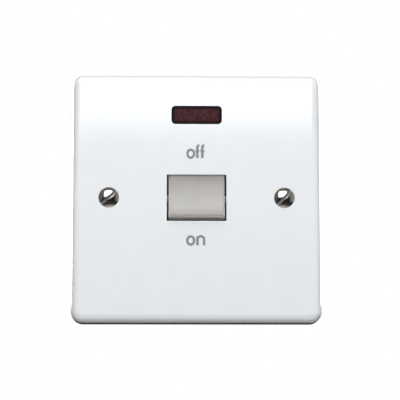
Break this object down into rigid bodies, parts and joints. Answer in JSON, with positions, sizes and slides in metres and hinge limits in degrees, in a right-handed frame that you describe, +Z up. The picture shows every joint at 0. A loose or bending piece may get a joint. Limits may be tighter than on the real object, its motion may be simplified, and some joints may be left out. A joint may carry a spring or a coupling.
{
  "type": "double pole switch",
  "caption": "Square flush wall plate with a centre rocker, a red indicator window above it, and screw terminals on a rear housing.",
  "frame": {"origin": "centre of the plate's back plane, which lies on the wall", "axes": "+X to the right seen from the front, +Y into the wall, +Z up; the front faces -Y"},
  "size_m": [0.086, 0.0324, 0.086],
  "materials": {
    "plate_white": "gloss",
    "rocker_white": "satin",
    "lens_red": "gloss, translucent",
    "lamp_glass": "clear",
    "resistor_body": "satin",
    "lead_sleeve": "satin",
    "tray_plastic": "satin",
    "housing_plastic": "matte",
    "plunger_nylon": "satin",
    "spring_steel": "bright",
    "contact_copper": "satin",
    "contact_silver": "satin",
    "terminal_brass": "machined",
    "screw_zinc": "zinc plated",
    "screw_nickel": "nickel plated"
  },
  "bodies": {
    "base": {"front_plate": "plate_white", "rear_housing": "housing_plastic", "neon_lens": "lens_red", "neon_lamp": "lamp_glass", "neon_resistor": "resistor_body", "lamp_tray": "tray_plastic", "mounting_screws": "screw_nickel", "terminal_screws": "screw_zinc", "housing_screws": "screw_zinc", "neon_lead_neutral": "lead_sleeve", "neon_lead_link": "lead_sleeve", "neon_lead_live": "lead_sleeve", "fixed_contact_left": "contact_copper", "fixed_rivet_left": "contact_silver", "pivot_contact_left": "contact_copper", "terminal_in_left": "terminal_brass", "terminal_out_left": "terminal_brass", "fixed_contact_right": "contact_copper", "fixed_rivet_right": "contact_silver", "pivot_contact_right": "contact_copper", "terminal_in_right": "terminal_brass", "terminal_out_right": "terminal_brass"},
    "rocker": {"rocker": "rocker_white", "plunger_spring_left": "spring_steel", "plunger_spring_right": "spring_steel"},
    "plunger_left": {"plunger_left": "plunger_nylon"},
    "plunger_right": {"plunger_right": "plunger_nylon"},
    "moving_contact_left": {"moving_contact_left": "contact_copper", "moving_rivet_left": "contact_silver"},
    "moving_contact_right": {"moving_contact_right": "contact_copper", "moving_rivet_right": "contact_silver"}
  },
  "joints": [
    {"name": "rocker_hinge", "type": "hinge", "parent": "base", "child": "rocker", "pos_m": [0, -0.0046, 0], "axis": [1, 0, 0], "range_deg": [0, 20]},
    {"name": "plunger_left_slide", "type": "slide", "parent": "rocker", "child": "plunger_left", "axis": [0, -0.9848, 0.1736], "range_m": [0, 0.0015], "stiffness_N_per_m": 600, "springref_m": -0.0008, "deforming": ["plunger_spring_left"]},
    {"name": "contact_left_hinge", "type": "hinge", "parent": "base", "child": "moving_contact_left", "pos_m": [-0.0055, 0.00702, 0], "axis": [1, 0, 0], "range_deg": [-18, 0]},
    {"name": "plunger_right_slide", "type": "slide", "parent": "rocker", "child": "plunger_right", "axis": [0, -0.9848, 0.1736], "range_m": [0, 0.0015], "stiffness_N_per_m": 600, "springref_m": -0.0008, "deforming": ["plunger_spring_right"]},
    {"name": "contact_right_hinge", "type": "hinge", "parent": "base", "child": "moving_contact_right", "pos_m": [0.0055, 0.00702, 0], "axis": [1, 0, 0], "range_deg": [-18, 0]}
  ],
  "couplings": [
    {"joint": "contact_left_hinge", "follows": "rocker_hinge", "ratio": -0.9},
    {"joint": "contact_right_hinge", "follows": "rocker_hinge", "ratio": -0.9}
  ]
}
